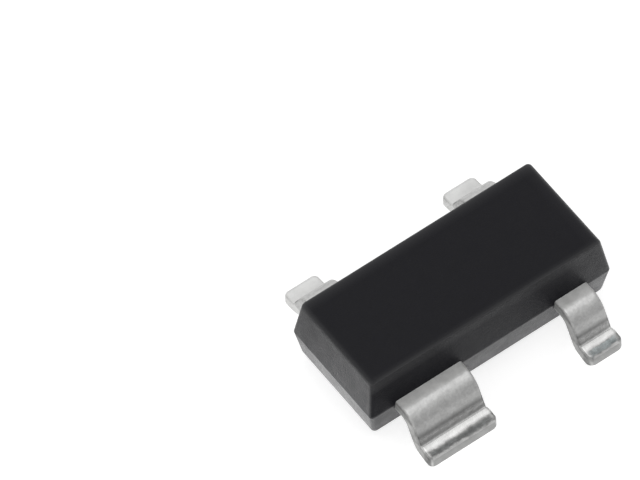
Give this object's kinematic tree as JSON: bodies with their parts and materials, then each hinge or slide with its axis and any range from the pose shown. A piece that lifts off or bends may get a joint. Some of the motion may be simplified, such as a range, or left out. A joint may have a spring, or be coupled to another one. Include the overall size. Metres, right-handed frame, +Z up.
{
  "type": "mosfet driver ic",
  "caption": "Small surface-mount driver chip: a black drafted plastic body with bent gull-wing leads, one of them wide, on its two long sides.",
  "frame": {"origin": "on the board surface under the middle of the body, where the feet stand", "axes": "+X along the body, with the wide lead towards -X on the -Y side; +Y across the body towards the two back leads; +Z up from the board"},
  "size_m": [0.0028, 0.0024, 0.0009],
  "materials": {
    "mould_compound": "fine matt texture of a moulded epoxy",
    "tinned_leadframe": "satin tin plating over a copper alloy",
    "die_glue": "cured silver-filled epoxy",
    "silicon": "polished silicon",
    "gold_wire": "bright drawn gold"
  },
  "bodies": {
    "root": {"mould_body": "mould_compound", "ground_lead": "tinned_leadframe", "supply_lead": "tinned_leadframe", "gate_lead": "tinned_leadframe", "control_lead": "tinned_leadframe", "die_attach": "die_glue", "die": "silicon", "ground_wire": "gold_wire", "supply_wire": "gold_wire", "gate_wire": "gold_wire", "control_wire": "gold_wire"}
  },
  "joints": []
}
